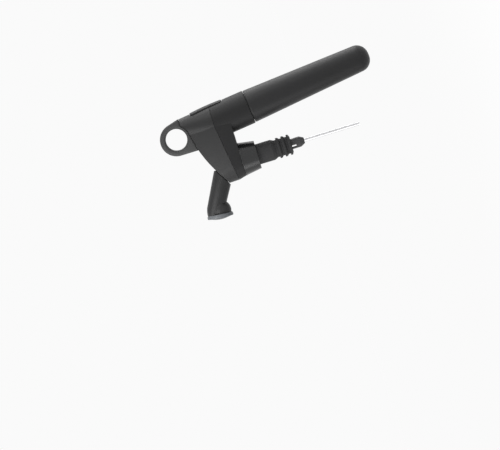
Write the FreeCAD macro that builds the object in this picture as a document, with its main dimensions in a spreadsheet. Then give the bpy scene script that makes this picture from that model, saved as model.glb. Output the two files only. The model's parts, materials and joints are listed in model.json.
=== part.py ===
"""One-hand wine preserver that plugs into a bottle mouth: argon handle, tap head, spout and stopper.

Row frame in millimetres: the origin is the centre of the bottle's mouth, where the stopper's
collar seats; +Z runs up the bottle's axis, out of the bottle; +X points to the handle.
"""
import FreeCAD, Part
import math
import os
import re
import Sketcher
from FreeCAD import Placement, Rotation, Vector

os.makedirs("parts", exist_ok=True)
doc = FreeCAD.newDocument("wine_preserver")

# ---------------------------------------------------------------- driving dimensions
SIZES = {
    # where the handle's axis stands: the seam between handle and housing, and its lean
    "seam_x": (43.6, "handle seam centre, from the bottle's axis"),
    "seam_z": (-5.2, "handle seam centre, from the bottle's mouth"),
    "lean": (6.8, "handle's lean away from the bottle's axis, degrees"),
    # clearances
    "seam_gap": (0.3, "seam between handle and housing"),
    "running": (0.05, "radial clearance of a shaft in its hole"),
    "loose": (0.3, "clearance between pieces that move past each other"),
    "seat": (0.02, "clearance of pieces seated in one another"),
    # handle cup
    "cup_len": (117.6, "handle cup length"),
    "cup_mouth_rad": (15.3, "handle radius at the seam"),
    "cup_end_rad": (12.3, "handle radius before its rounded end"),
    "cup_end_round": (11.0, "rounding of the handle's end"),
    "mouth_round": (0.5, "bevel at the handle's mouth"),
    "cup_end_wall": (5.4, "thickness of the handle's closed end"),
    "cup_bore_rad": (10.5, "bore that takes the capsule"),
    "sleeve_len": (18.6, "threaded sleeve's length in the handle's mouth"),
    "sleeve_wall": (0.9, "threaded sleeve's wall"),
    "pad_len": (3.4, "capsule pad's height"),
    "pad_dish": (0.8, "depth of the pad's dish"),
    # argon capsule
    "capsule_rad": (10.1, "capsule radius"),
    "capsule_neck_rad": (4.9, "capsule neck radius"),
    "capsule_neck_len": (10.0, "capsule neck length"),
    "capsule_shoulder": (11.0, "height of the capsule's shoulder"),
    "capsule_wall": (1.6, "capsule wall"),
    # threaded collar that the handle screws on
    "thread_rad": (12.4, "outside radius of the thread"),
    "thread_len": (16.0, "thread that stands out of the housing"),
    "thread_lead": (0.8, "bevel at the thread's start"),
    "flange_rad": (13.2, "collar flange radius"),
    "flange_thick": (4.0, "collar flange thickness"),
    "recess_rad": (5.6, "recess for the capsule's neck"),
    "recess_roof": (6.0, "depth from the seam to the recess's roof"),
    "gasket_thick": (2.5, "capsule gasket thickness"),
    "pin_rad": (1.2, "piercing pin radius"),
    "pin_reach": (6.4, "pin's reach below the recess's roof"),
    "pin_head_rad": (2.0, "piercing pin's head radius"),
    "pin_head_thick": (1.5, "piercing pin's head thickness"),
    # housing
    "wall": (2.0, "housing wall"),
    "tube_rad": (15.7, "housing tube radius"),
    "slab_foot_inset": (1.5, "how far the slab's underside stands inside the tube's radius"),
    "slab_part_inset": (0.4, "how far the slab's parting line stands inside the tube's radius"),
    "slab_top_half": (6.6, "half width of the head at the height head_rise"),
    "slab_top_front": (-13.4, "front of the head at that height"),
    "head_rise": (33.0, "height over the parting line where slab_top_half is taken"),
    "slab_foot_front": (-15.2, "front of the housing at its underside"),
    "slab_part_front": (-17.2, "front of the housing at the parting line"),
    "foot_z": (15.0, "underside of the housing, on the stopper's collar"),
    "part_z": (24.45, "parting line's height over the bottle's axis"),
    "part_slope": (8.1, "slope of the parting line, degrees"),
    "part_knee_x": (36.0, "where the parting line turns level"),
    "part_groove": (0.25, "width of the groove along the parting line"),
    "groove_deep": (0.9, "depth of that groove"),
    "spigot_rad": (12.0, "ring under the housing that centres it in the stopper"),
    "spigot_len": (2.4, "that ring's depth"),
    "spigot_wall": (1.6, "that ring's wall"),
    # head shell's front outline
    "face_low_x": (-17.4, "lower end of the spout face"),
    "face_low_z": (31.3, "its height"),
    "face_slope": (30.5, "slope of the spout face, degrees"),
    "face_len": (16.3, "length of the spout face"),
    "brow_end_x": (19.4, "front end of the ring's gap, where the brow stops"),
    "brow_rad": (110.0, "radius of the curved brow"),
    # ridge behind the head
    "ridge_top_rad": (9.2, "radius of the ridge at ridge_len"),
    "ridge_foot": (35.0, "start of the ridge, along the handle's axis"),
    "ridge_len": (33.0, "length of the ridge"),
    "ridge_top_shift": (5.9, "how far the ridge's centre moves back"),
    # finger ring
    "ring_x": (34.1, "finger ring centre"),
    "ring_z": (66.2, "finger ring centre"),
    "ring_hole_rad": (9.8, "finger hole radius"),
    "ring_rad": (14.9, "finger ring outside radius"),
    "ring_foot_rad": (12.4, "distance from the ring's centre to its foot"),
    "ring_gap": (0.4, "gap between the ring's foot and the head"),
    "ring_foot_slope": (12.7, "slope of the ring's foot, degrees"),
    "ring_thick": (11.0, "finger ring thickness"),
    "ring_bevel": (1.6, "bevel round the finger hole"),
    "ring_edge": (1.4, "rounding of the ring's outside"),
    "ring_back_x": (51.5, "the ring's corner at the back of the ridge"),
    "ring_back_z": (6.6, "its depth under the ring's centre"),
    "ring_back_turn": (17.0, "where the ring's outline leaves its circle at the back, degrees"),
    "tongue_thick": (6.0, "thickness of the tongue that holds the ring"),
    "tongue_len": (5.0, "depth of that tongue below the ring's foot"),
    "tongue_front": (13.9, "tongue's front end, from the ring's centre along the foot"),
    "tongue_back": (10.1, "tongue's back end, from the ring's centre along the foot"),
    "heel_inset": (1.6, "how far the tongue's heel stands inside the ring's back corner"),
    # thumb trigger on the back of the head
    "trigger_low": (21.0, "trigger's lower end, along the handle's axis"),
    "trigger_len": (31.0, "trigger length"),
    "trigger_half": (7.0, "trigger half width"),
    "trigger_corner": (3.0, "trigger corner radius"),
    "trigger_low_proud": (0.6, "how far the trigger's lower end stands out of the tube"),
    "trigger_top_proud": (0.45, "how far the trigger's upper end stands out of the tube's radius"),
    "trigger_crown_rad": (250.0, "lengthwise crown of the trigger"),
    "trigger_edge": (0.6, "rounding of the trigger's ends"),
    "trigger_thick": (2.3, "trigger thickness"),
    "slot_end_gap": (0.6, "gap at the trigger's ends"),
    "slot_side_gap": (0.35, "gap at the trigger's sides"),
    "slot_depth": (9.5, "floor of the trigger's slot, from the handle's axis"),
    "pivot_along": (47.0, "trigger pin, along the handle's axis"),
    "pivot_out": (10.5, "trigger pin, out from the valve's base line"),
    "pivot_rad": (1.0, "trigger pin radius"),
    "pivot_half": (9.4, "trigger pin half length"),
    "lug_half": (5.6, "outer faces of the trigger's two lugs"),
    "lug_thick": (2.4, "lug thickness"),
    "lug_rad": (2.2, "lug radius round the pin"),
    # gas valve
    "valve_deep": (15.7, "base line of the valve and the trigger's pin, in from the tube's skin"),
    "regulator_rad": (11.6, "regulator radius"),
    "regulator_len": (29.0, "regulator length"),
    "regulator_crown": (4.0, "height of the regulator's bevelled crown"),
    "valve_along": (26.0, "valve stem, along the handle's axis"),
    "stem_rad": (1.5, "valve stem radius"),
    "stem_head_rad": (3.0, "valve stem head radius"),
    "stem_head_thick": (1.2, "valve stem head thickness"),
    "stem_head_out": (13.0, "outer face of the stem's head, from the base line"),
    "stem_tail": (2.0, "inner end of the stem, from the base line"),
    "stem_travel": (1.6, "free depth behind the stem's inner end"),
    "spring_seat": (5.2, "spring's seat in the regulator, from the base line"),
    "spring_wire_rad": (0.35, "spring wire radius"),
    "spring_rad": (2.2, "spring's mean radius"),
    "spring_turns": (5.0, "spring turns"),
    "spring_pocket_rad": (3.4, "spring pocket radius"),
    "post_rad": (1.3, "post under the trigger that pushes the stem"),
    "post_gap": (0.12, "free play between the post and the stem"),
    "seal_rad": (0.6, "thickness radius of the small O-rings"),
    # wine and gas path
    "manifold_rad": (8.5, "manifold radius"),
    "chamber_rad": (6.4, "manifold chamber radius"),
    "chamber_low": (21.6, "chamber floor"),
    "chamber_high": (32.0, "chamber roof"),
    "screw_out": (10.6, "manifold screws, from the bottle's axis"),
    "screw_rad": (1.0, "manifold screw radius"),
    "screw_head_rad": (1.9, "manifold screw head radius"),
    "screw_head_high": (1.4, "manifold screw head height"),
    "ear_rad": (2.3, "manifold's screw ears"),
    "ear_high": (2.6, "height of those ears"),
    "screw_bite": (1.5, "screw's depth in the housing's floor"),
    "probe_rad": (4.8, "probe sleeve radius"),
    "probe_bore_rad": (3.5, "probe sleeve bore"),
    "probe_end": (-44.0, "lower end of the probe sleeve"),
    "probe_tip": (4.0, "length of the sleeve's tapered tip"),
    "probe_top": (20.9, "upper end of the probe sleeve"),
    "port_len": (9.0, "length of the wine ports"),
    "port_width": (2.6, "width of the wine ports"),
    "port_low": (-36.0, "lower end of the wine ports"),
    "seal_seat_z": (18.6, "probe seal's groove in the manifold"),
    "gas_rad": (1.5, "gas tube radius"),
    "gas_bore_rad": (1.0, "gas tube bore"),
    "gas_level": (24.2, "height of the gas tube's level run"),
    "gas_port_along": (31.3, "gas tube's socket in the regulator, along the handle's axis"),
    "gas_bend_rad": (4.6, "gas tube's bend"),
    "gas_end": (-96.0, "lower end of the gas tube"),
    "gas_socket": (3.0, "gas tube's depth in the regulator"),
    # spout and aerator
    "spout_x": (-11.57, "spout axis, on the spout face"),
    "spout_z": (36.9, "its height"),
    "spout_lean": (61.0, "spout axis's lean from the bottle's axis, degrees"),
    "spout_rad": (4.9, "spout nipple radius"),
    "spout_bore_rad": (3.6, "spout bore"),
    "spout_root": (-9.5, "inner end of the spout nipple"),
    "spout_tip": (11.5, "outer end of the spout nipple"),
    "spout_lead": (0.8, "bevel at the nipple's outer end"),
    "spout_groove_at": (8.2, "O-ring groove on the nipple"),
    "spout_groove": (0.8, "depth of that groove"),
    "face_back": (2.06, "spout face behind the spout's origin"),
    "mitre_slope": (30.4, "slope of the spout face across the spout, degrees"),
    "mitre_gap": (0.5, "shadow gap between aerator and housing"),
    "aerator_root_rad": (9.0, "aerator tube radius at the housing"),
    "aerator_tube_rad": (7.6, "radius that the tube narrows to past the rim"),
    "aerator_corner": (2.0, "rounded upper corner of the aerator's mitre"),
    "flank_rad": (10.3, "where the tube's flank turns in to the rim, from the spray face's axis"),
    "flank_back": (9.0, "that place's distance behind the spray face"),
    "flank_mouth": (11.2, "the flank's distance from that axis at the rim"),
    "flank_bow": (20.0, "radius of the turn"),
    "rose_off": (-5.2, "spray face centre, across the spout's axis"),
    "rose_along": (33.1, "spray face centre, along the spout's axis"),
    "rose_turn": (24.4, "spray face's turn from the spout's axis, degrees"),
    "dome_rad": (9.4, "dome radius"),
    "dome_back": (4.5, "dome's centre behind the spray face"),
    "dome_off": (1.6, "dome's centre off the spray face's axis"),
    "dome_wall": (1.7, "dome wall"),
    "rim_rad": (11.9, "rim radius"),
    "rim_thick": (3.1, "rim thickness"),
    "rim_wall": (1.2, "rim's visible width"),
    "rim_edge": (0.3, "bevel of the rim's outer edge"),
    "rose_thick": (1.3, "spray face thickness"),
    "rose_crown_rad": (34.0, "spray face's crown radius"),
    "rose_hole_rad": (0.5, "spray hole radius"),
    "rose_pitch": (3.05, "distance between the rings of spray holes"),
    "screen_thick": (0.8, "air screen thickness"),
    # stopper
    "mouth_rad": (12.9, "stopper collar radius at the bottle's mouth"),
    "collar_inset": (0.3, "how far the collar's top stands inside the tube's radius"),
    "collar_rim": (0.9, "thickness of the collar's top rim"),
    "collar_floor": (3.0, "thickness of the collar's floor"),
    "seal_pocket_rad": (8.0, "pocket for the lip seal"),
    "seal_low": (7.4, "bottom of the lip seal"),
    "seal_thick": (4.2, "lip seal thickness"),
    "guide_rad": (5.4, "guide bore for the probe"),
    "plug_bore_rad": (6.3, "plug's bore under the flaps"),
    "flap_top": (7.0, "depth of the closing flaps' seat"),
    "plug_rad": (9.4, "stopper plug radius, pressed into the bottle's bore"),
    "plug_neck_rad": (7.2, "plug's neck inside the collar"),
    "plug_rebate": (0.8, "depth of the collar's rebate round the plug's shoulder"),
    "plug_land": (14.0, "length of the plug's plain wall"),
    "plug_len": (32.0, "plug length under the bottle's mouth"),
    "rib_pitch": (5.0, "distance between the plug's ribs"),
    "rib_thick": (1.8, "rib thickness"),
    "rib_depth": (1.5, "depth between the ribs"),
    "plug_tip_rad": (7.0, "plug's lower end"),
    "flap_wall": (0.8, "thickness of the closing flaps"),
    "flap_len": (9.0, "length of the closing flaps"),
}
sheet = doc.addObject("Spreadsheet::Sheet", "Sizes")
for row, (alias, (size, meaning)) in enumerate(SIZES.items(), start=1):
    sheet.set("A%d" % row, str(size))
    sheet.set("B%d" % row, "'" + meaning)
    sheet.setAlias("A%d" % row, alias)
doc.recompute()

HANDLE = ("seam_x", "seam_z", "lean")
SPOUT = ("spout_x", "spout_z", "spout_lean")
# the valve and the trigger's pin keep their depth under the tube's skin
BASE = "tube_rad - valve_deep + "
ROW = None


# ---------------------------------------------------------------- helpers
def bound(expression):
    """Point each alias in an expression to its cell."""
    return re.sub(r"[a-z][a-z_]+", lambda word: ("Sizes." if word.group() in SIZES else "") + word.group(),
                  expression)


def size(expression):
    """The number that an expression of aliases comes to now."""
    return float(sheet.evalExpression(bound(expression)))


def bind(target, **properties):
    """Tie properties of an object to expressions of the sheet's aliases."""
    for name, expression in properties.items():
        target.setExpression(name, bound(expression))


def frame_now(frame):
    """Placement of one of the leaning frames with the sizes as they are."""
    x, z, lean = frame
    return Placement(Vector(size(x), 0, size(z)), Rotation(Vector(0, -1, 0), size(lean)))


def stand(target, frame):
    """Place an object in one of the leaning frames, tied to the sheet."""
    if frame is None:
        return
    x, z, lean = frame
    target.Placement = frame_now(frame)
    target.setExpression(".Placement.Base.x", bound(x))
    target.setExpression(".Placement.Base.z", bound(z))
    target.setExpression(".Placement.Rotation.Angle", bound(lean))


def arc_middle(start, end, radius):
    """Middle of the minor arc; a positive radius bulges to the left of the way from start to end."""
    chord = end - start
    left = Vector(-chord.y, chord.x, 0).normalize()
    half = chord.Length / 2
    sagitta = abs(radius) - (radius * radius - half * half) ** 0.5
    return (start + end) / 2 + left * (sagitta if radius > 0 else -sagitta)


def draw(sketch, outline):
    """Close an outline of (x, y) corners; a third entry is the radius of the arc that leads there."""
    points = [Vector(size(corner[0]), size(corner[1]), 0) for corner in outline]
    count = len(points)
    first = sketch.GeometryCount
    for index in range(count):
        start, end = points[index], points[(index + 1) % count]
        target = outline[(index + 1) % count]
        if len(target) == 3:
            middle = arc_middle(start, end, size(target[2]))
            tips = (end, start) if size(target[2]) > 0 else (start, end)
            sketch.addGeometry(Part.Arc(tips[0], middle, tips[1]), False)
        else:
            sketch.addGeometry(Part.LineSegment(start, end), False)
    ends = []
    for index in range(count):
        arc = len(outline[(index + 1) % count]) == 3
        flipped = arc and size(outline[(index + 1) % count][2]) > 0
        ends.append((2, 1) if flipped else (1, 2))
    for index in range(count):
        following = (index + 1) % count
        sketch.addConstraint(Sketcher.Constraint("Coincident", first + index, ends[index][1],
                                                 first + following, ends[following][0]))
    for index, point in enumerate(points):
        for kind, number, expression in (("DistanceX", point.x, outline[index][0]),
                                         ("DistanceY", point.y, outline[index][1])):
            place = sketch.addConstraint(Sketcher.Constraint(kind, -1, 1, first + index, ends[index][0],
                                                             number))
            sketch.setExpression("Constraints[%d]" % place, bound(expression))
        target = outline[(index + 1) % count]
        if len(target) == 3:
            place = sketch.addConstraint(Sketcher.Constraint("Radius", first + index, abs(size(target[2]))))
            sketch.setExpression("Constraints[%d]" % place, bound("abs(%s)" % target[2]))


def circle(sketch, radius, x="0", y="0"):
    """A circle tied to the sheet."""
    index = sketch.addGeometry(Part.Circle(Vector(size(x), size(y), 0), Vector(0, 0, 1), size(radius)), False)
    for kind, number, expression in (("DistanceX", size(x), x), ("DistanceY", size(y), y)):
        place = sketch.addConstraint(Sketcher.Constraint(kind, -1, 1, index, 3, number))
        sketch.setExpression("Constraints[%d]" % place, bound(expression))
    place = sketch.addConstraint(Sketcher.Constraint("Radius", index, size(radius)))
    sketch.setExpression("Constraints[%d]" % place, bound(radius))


def new_body(label, frame=ROW):
    """An empty body in one of the frames."""
    made = doc.addObject("PartDesign::Body", label)
    made.Label = label
    stand(made, frame)
    return made


def plane_of(made, role):
    """One of a body's own origin planes."""
    return [feature for feature in made.Origin.OriginFeatures if feature.Role == role][0]


def new_sketch(made, role="XZ_Plane", turn=None, **offset):
    """A sketch on an origin plane, shifted and turned by expressions of the sheet's aliases."""
    sketch = made.newObject("Sketcher::SketchObject", made.Label + "_sketch")
    sketch.AttachmentSupport = [(plane_of(made, role), "")]
    sketch.MapMode = "FlatFace"
    if turn:
        axis, angle = turn
        sketch.AttachmentOffset = Placement(Vector(), Rotation(axis, size(angle)))
        sketch.setExpression(".AttachmentOffset.Rotation.Angle", bound(angle))
    for name, expression in offset.items():
        sketch.setExpression(".AttachmentOffset.Base." + name, bound(expression))
    return sketch


def revolve(made, outline, cut=False, **where):
    """Turn an outline round its own vertical axis, added to a body or cut out of it."""
    sketch = new_sketch(made, **where)
    draw(sketch, outline)
    kind = "PartDesign::Groove" if cut else "PartDesign::Revolution"
    feature = made.newObject(kind, made.Label + ("_groove" if cut else "_turning"))
    feature.Profile = sketch
    feature.ReferenceAxis = (sketch, ["V_Axis"])
    feature.Angle = 360
    sketch.Visibility = False
    return feature


def turned(label, outline, frame=ROW, **where):
    """A body turned from one outline."""
    made = new_body(label, frame)
    revolve(made, outline, **where)
    return made


def extrude(made, drawing, length, cut=False, side="Symmetric", flip=False, **where):
    """Extrude a drawing from its plane, added to a body or cut out of it."""
    sketch = new_sketch(made, **where)
    drawing(sketch)
    kind = "PartDesign::Pocket" if cut else "PartDesign::Pad"
    feature = made.newObject(kind, made.Label + ("_pocket" if cut else "_pad"))
    feature.Profile = sketch
    feature.SideType = side
    feature.Reversed = flip
    bind(feature, Length=length)
    return feature


def extruded(label, outline, length, frame=ROW, **where):
    """A body extruded evenly to both sides of its plane from one outline."""
    made = new_body(label, frame)
    extrude(made, lambda sketch: draw(sketch, outline), length, **where)
    return made


def loft(made, sections, cut=False):
    """Loft straight between drawings on their planes."""
    sketches = []
    for drawing, where in sections:
        sketch = new_sketch(made, **where)
        drawing(sketch)
        sketches.append(sketch)
    kind = "PartDesign::SubtractiveLoft" if cut else "PartDesign::AdditiveLoft"
    feature = made.newObject(kind, made.Label + "_loft")
    feature.Profile = sketches[0]
    feature.Sections = sketches[1:]
    feature.Ruled = True
    return feature


def polar(made, feature, count, axis):
    """Repeat a body's feature round one of its axes."""
    pattern = made.newObject("PartDesign::PolarPattern", made.Label + "_pattern")
    pattern.Originals = [feature]
    line = [item for item in made.Origin.OriginFeatures if item.Role == axis][0]
    pattern.Axis = (line, [""])
    pattern.Angle = 360
    pattern.Occurrences = count
    made.Tip = pattern
    return pattern


def fused(label, *pieces):
    """Join solids into one."""
    made = doc.addObject("Part::MultiFuse", label)
    made.Label = label
    made.Shapes = list(pieces)
    made.Refine = True
    return made


def shared(label, *pieces):
    """Keep what all of the solids share."""
    made = doc.addObject("Part::MultiCommon", label)
    made.Label = label
    made.Shapes = list(pieces)
    return made


def without(label, base, tool):
    """Cut one solid out of another."""
    made = doc.addObject("Part::Cut", label)
    made.Label = label
    made.Base = base
    made.Tool = tool
    made.Refine = True
    return made


def rectangle(low_x, low_y, high_x, high_y):
    """Outline of a rectangle."""
    return [(low_x, low_y), (high_x, low_y), (high_x, high_y), (low_x, high_y)]


def ring(inner, outer, low, high):
    """Outline of a plain ring's section."""
    return rectangle(inner, low, outer, high)


def disc(radius, low, high):
    """Outline of a plain disc's section."""
    return rectangle("0", low, radius, high)


def o_ring(label, inner, thickness, at, frame=ROW, **where):
    """A round-section seal ring from its inner radius and its section's radius."""
    made = new_body(label, frame)
    sketch = new_sketch(made, **where)
    circle(sketch, thickness, "(%s) + (%s)" % (inner, thickness), at)
    feature = made.newObject("PartDesign::Revolution", label + "_turning")
    feature.Profile = sketch
    feature.ReferenceAxis = (sketch, ["V_Axis"])
    feature.Angle = 360
    return made


NODES = []


def node(piece):
    """Keep a piece as a node of its own."""
    NODES.append(piece)
    return piece


# ---------------------------------------------------------------- stopper
def stopper():
    """Collar, plug, lip seal and closing flaps: what stays in the bottle."""
    top = "foot_z - seat"
    rim_low = "foot_z - collar_rim"
    recess = "spigot_rad + loose"
    recess_floor = "foot_z - spigot_len - loose"
    floor = "seal_low - collar_floor"
    rim = "tube_rad - collar_inset"
    node(turned("stopper_collar", [
        ("guide_rad", floor), ("plug_neck_rad + seat", floor), ("plug_neck_rad + seat", "plug_rebate"),
        ("plug_rad + loose", "plug_rebate"), ("plug_rad + loose", "0"),
        ("mouth_rad", "0"), (rim + " - loose", rim_low), (rim, rim_low),
        (rim, top), (recess, top), (recess, recess_floor),
        ("seal_pocket_rad", recess_floor), ("seal_pocket_rad", "seal_low"), ("guide_rad", "seal_low")]))
    groove = "plug_rad - rib_depth"
    neck_top = floor + " - seat"
    outline = [("plug_bore_rad", "-plug_len"), ("plug_tip_rad", "-plug_len")]
    for rib in (3, 2, 1):
        high = "-plug_land - rib_pitch * %d" % rib
        outline += [("plug_rad", high + " - rib_thick"), ("plug_rad", high), (groove, high),
                    (groove, high + " + rib_pitch - rib_thick - rib_depth")]
    outline += [("plug_rad", "-plug_land"), ("plug_rad", "0"), ("plug_rad - plug_rebate", "plug_rebate"),
                ("plug_neck_rad", "plug_rebate"), ("plug_neck_rad", neck_top), ("guide_rad", neck_top),
                ("guide_rad", "-flap_top"), ("plug_bore_rad", "-flap_top")]
    node(turned("stopper_plug", outline))
    lip = "probe_rad + running"
    seal_high = "seal_low + seal_thick"
    node(turned("stopper_seal", [
        (lip, "seal_low + seal_thick * 0.3"), ("guide_rad", "seal_low + seat"),
        ("seal_pocket_rad - seat", "seal_low + seat"), ("seal_pocket_rad - seat", seal_high),
        ("guide_rad", seal_high), (lip, "seal_low + seal_thick * 0.7")]))
    flap_skin = "plug_bore_rad - seat"
    flap_high = "-flap_top - seat"
    flap_low = "-flap_top - flap_len"
    node(turned("stopper_valve", [
        ("guide_rad", flap_high), ("guide_rad", flap_high + " - flap_len * 0.4"), (lip, flap_low),
        (lip + " + flap_wall", flap_low), (flap_skin, flap_high + " - flap_len * 0.4"),
        (flap_skin, flap_high)]))


# ---------------------------------------------------------------- handle
def handle():
    """Handle cup with its threaded sleeve, the capsule pad and the argon capsule."""
    skin = "cup_mouth_rad"
    sleeve_bore = "thread_rad + loose"
    sleeve_skin = sleeve_bore + " + sleeve_wall"
    end = "-cup_len"
    floor = "-cup_len + cup_end_wall"
    cup = new_body("handle_cup", HANDLE)
    revolve(cup, [
        ("0", end), ("cup_end_rad - cup_end_round", end),
        ("cup_end_rad", "-cup_len + cup_end_round", "-cup_end_round"),
        (skin, "-mouth_round * 2"), (skin + " - mouth_round", "0"),
        (sleeve_skin, "0"), (sleeve_skin, "-sleeve_len"), ("cup_bore_rad", "-sleeve_len - sleeve_wall"),
        ("cup_bore_rad", floor), ("0", floor)])
    node(cup)
    node(turned("handle_thread_sleeve", ring(sleeve_bore, sleeve_skin + " - seat", "-sleeve_len + seat",
                                             "-seat"), HANDLE))
    pad_low = floor + " + seat"
    pad_high = floor + " + pad_len"
    node(turned("capsule_pad", [
        ("0", pad_low), ("cup_bore_rad - seat", pad_low), ("cup_bore_rad - seat", pad_high),
        ("capsule_rad * 0.7", pad_high), ("capsule_rad * 0.5", pad_high + " - pad_dish"),
        ("0", pad_high + " - pad_dish")], HANDLE))
    tip = "-recess_roof - gasket_thick - seat"
    neck_low = tip + " - capsule_neck_len"
    shoulder_low = neck_low + " - capsule_shoulder"
    bottom = pad_high + " + seat"
    inner = "capsule_rad - capsule_wall"
    needle_room = "pin_rad + loose"
    node(turned("argon_capsule", [
        ("0", bottom), ("capsule_rad * 0.75", bottom), ("capsule_rad", bottom + " + capsule_rad * 0.25"),
        ("capsule_rad", shoulder_low), ("capsule_neck_rad", neck_low, "-capsule_shoulder * 1.6"),
        ("capsule_neck_rad", tip), (needle_room, tip), (needle_room, neck_low),
        (inner, shoulder_low, "capsule_shoulder * 1.6"), (inner, bottom + " + capsule_rad * 0.35"),
        ("capsule_rad * 0.5", bottom + " + capsule_wall"), ("0", bottom + " + capsule_wall")], HANDLE))


# ---------------------------------------------------------------- piercing end and gas valve
def piercer():
    """Threaded collar, gasket, pin, regulator, valve stem with its spring and seal."""
    thread_low = "-thread_len"
    roof = "-recess_roof"
    flange_low = "seam_gap + seat"
    flange_high = "seam_gap + flange_thick"
    collar = new_body("threaded_collar", HANDLE)
    revolve(collar, [
        ("recess_rad", thread_low), ("thread_rad - thread_lead", thread_low),
        ("thread_rad", thread_low + " + thread_lead"),
        ("thread_rad", flange_low), ("flange_rad", flange_low), ("flange_rad", flange_high),
        ("pin_rad + seat", flange_high), ("pin_rad + seat", roof), ("recess_rad", roof)])
    node(collar)
    node(turned("capsule_gasket", ring("pin_rad + running", "recess_rad - seat", roof + " - gasket_thick",
                                       roof + " - seat"), HANDLE))
    pin_low = roof + " - gasket_thick - pin_reach"
    node(turned("piercing_pin", [
        ("0", pin_low), ("pin_rad", pin_low + " + pin_rad * 2.2"), ("pin_rad", flange_high + " + seat"),
        ("pin_head_rad", flange_high + " + seat"), ("pin_head_rad", flange_high + " + pin_head_thick"),
        ("0", flange_high + " + pin_head_thick")], HANDLE))
    regulator_low = flange_high + " + seat"
    regulator_high = "regulator_len + " + flange_high
    regulator = new_body("regulator_body", HANDLE)
    revolve(regulator, [
        ("pin_head_rad + seat", regulator_low), ("regulator_rad", regulator_low),
        ("regulator_rad", regulator_high + " - regulator_crown"),
        ("regulator_rad - regulator_crown * 0.75", regulator_high),
        ("0", regulator_high), ("0", flange_high + " + pin_head_thick + seat"),
        ("pin_head_rad + seat", flange_high + " + pin_head_thick + seat")])
    for radius, start in (("stem_rad + running", BASE + "stem_tail - stem_travel"),
                          ("spring_pocket_rad", BASE + "spring_seat")):
        extrude(regulator, lambda sketch, radius=radius: circle(sketch, radius, "0", "valve_along"),
                "2 * regulator_rad", cut=True, side="One side", flip=True, role="YZ_Plane", z=start)
    extrude(regulator, lambda sketch: circle(sketch, "gas_rad + seat", "0", "gas_port_along"),
            "regulator_rad", cut=True, side="One side", role="YZ_Plane",
            z="-regulator_rad + gas_socket")
    node(regulator)
    sideways = {"role": "XZ_Plane", "turn": (Vector(0, 0, 1), "-90"), "y": "valve_along"}
    tail, head_high = BASE + "stem_tail", BASE + "stem_head_out"
    head_low = head_high + " - stem_head_thick"
    node(turned("valve_stem", [
        ("0", tail), ("stem_rad", tail), ("stem_rad", head_low),
        ("stem_head_rad", head_low), ("stem_head_rad", head_high), ("0", head_high)],
        HANDLE, **sideways))
    node(o_ring("valve_seal", "stem_rad + seat", "seal_rad", BASE + "spring_seat + seal_rad + seat", HANDLE,
                **sideways))
    spring_low = size(BASE + "spring_seat + seal_rad * 2 + spring_wire_rad + seat * 2")
    spring_high = size(head_low + " - spring_wire_rad - seat")
    node(coil("valve_spring", spring_low, spring_high))


def coil(label, low, high):
    """The valve's return spring, wound round the stem between its two seats."""
    turns, radius, wire = size("spring_turns"), size("spring_rad"), size("spring_wire_rad")
    path = Part.makeHelix((high - low) / turns, high - low, radius)
    section = Part.Wire(Part.makeCircle(wire, Vector(radius, 0, 0), Vector(0, 1, 0)))
    sweep = Part.Wire(path).makePipeShell([section], True, True)
    made = doc.addObject("Part::Feature", label)
    made.Label = label
    made.Shape = sweep
    lying = Placement(Vector(low, 0, size("valve_along")), Rotation(Vector(0, 1, 0), 90))
    made.Placement = frame_now(HANDLE).multiply(lying)
    return made


# ---------------------------------------------------------------- housing
PART_KNEE = "part_z + part_knee_x * tan(part_slope)"
SLAB_PART_HALF = "tube_rad - slab_part_inset - "
FAR = "90"
AHEAD = "24"
RING_BACK = "(ring_z - ring_back_z)"


def parting_corners(rise="0"):
    """The parting line from before the housing's front to behind the handle, moved up by a rise."""
    return [("-" + AHEAD, "part_z - %s * tan(part_slope) + %s" % (AHEAD, rise)),
            ("part_knee_x", PART_KNEE + " + " + rise), (FAR, PART_KNEE + " + " + rise)]


def head_corners(skin):
    """The head's outline over the parting line, moved inwards by a skin's thickness."""
    reach = "(ring_foot_rad + ring_gap + %s)" % skin
    shoulder = RING_BACK + " - ring_gap - %s" % skin
    drop = "(ring_z - (%s))" % shoulder
    line = "ring_z - %s / cos(ring_foot_slope) + (brow_end_x - ring_x) * tan(ring_foot_slope)" % reach
    low_x = "face_low_x + %s * sin(face_slope)" % skin
    low_z = "face_low_z - %s * cos(face_slope)" % skin
    return [
        (FAR, shoulder),
        ("ring_x + sqrt(%s * %s - %s * %s)" % (reach, reach, drop, drop), shoulder),
        ("ring_x + %s * sin(ring_foot_slope)" % reach, "ring_z - %s * cos(ring_foot_slope)" % reach, reach),
        ("brow_end_x", line),
        (low_x + " + face_len * cos(face_slope)", low_z + " + face_len * sin(face_slope)",
         "-(brow_rad - %s)" % skin),
        (low_x, low_z),
        ("-" + AHEAD, low_z + " - (%s + %s) * tan(face_slope)" % (AHEAD, low_x))]


def stadium(half, front):
    """A drawing of the housing's slab in plan, round at its front and open into the tube."""
    back = "seam_x - foot_z * sin(lean)"
    return lambda sketch: draw(sketch, [
        (back, "-(%s)" % half), (back, half), ("%s + %s" % (front, half), half),
        (front, "0", "-(%s)" % half), ("%s + %s" % (front, half), "-(%s)" % half, "-(%s)" % half)])


OVERLAP = "1"


def part_plane(shift):
    """The plane of the parting line, shifted up or down."""
    return {"role": "XY_Plane", "turn": (Vector(0, -1, 0), "part_slope"), "z": "part_z + " + shift}


HEAD_PLANE = {"role": "XY_Plane", "turn": (Vector(0, -1, 0), "part_slope"),
              "z": "part_z + head_rise * cos(part_slope)", "x": "-head_rise * sin(part_slope)"}


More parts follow.
